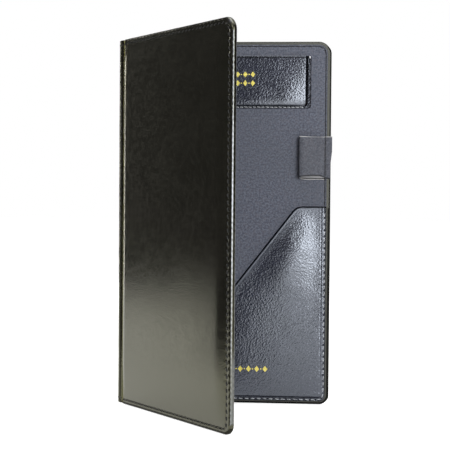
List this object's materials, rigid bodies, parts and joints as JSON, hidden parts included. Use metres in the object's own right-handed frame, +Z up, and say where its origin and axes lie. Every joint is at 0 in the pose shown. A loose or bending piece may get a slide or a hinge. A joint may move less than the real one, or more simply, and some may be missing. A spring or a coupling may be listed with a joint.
{
  "type": "guest check presenter",
  "caption": "Padded leatherette folder with a soft spine, card pocket, slanting check pocket and pen loop; opens like a book and stands on its edge.",
  "frame": {"origin": "centre of the footprint, on the surface that the folder stands on, with the covers open as they stand", "axes": "+Z up along the spine; +X from the spine toward the free edge of the back cover; -Y the way the back cover's inner face looks"},
  "size_m": [0.1334, 0.112, 0.2286],
  "materials": {
    "leatherette": "glossy black grained leatherette",
    "pocket_leatherette": "glossy black leatherette with fine wrinkles",
    "lining": "matte slate lining with a fine fleck",
    "foam": "matt foam, hidden",
    "board": "grey-brown chipboard, hidden",
    "thread": "black polyester thread with a soft sheen",
    "foil": "gold foil"
  },
  "bodies": {
    "back_cover": {"back_skin": "leatherette", "back_padding": "foam", "back_board": "board", "back_lining": "lining", "card_pocket": "pocket_leatherette", "check_pocket": "pocket_leatherette", "pen_loop": "lining"},
    "spine": {"spine_skin": "leatherette", "spine_padding": "foam", "spine_lining": "lining"},
    "front_cover": {"front_skin": "leatherette", "front_padding": "foam", "front_board": "board", "front_lining": "lining"}
  },
  "joints": [
    {"name": "back_crease", "type": "hinge", "parent": "back_cover", "child": "spine", "pos_m": [-0.05779, 0.0519, 0], "axis": [0, 0, 1], "range_deg": [-64, 26]},
    {"name": "front_crease", "type": "hinge", "parent": "spine", "child": "front_cover", "pos_m": [-0.06196, 0.04337, 0], "axis": [0, 0, 1], "range_deg": [-64, 26]}
  ]
}
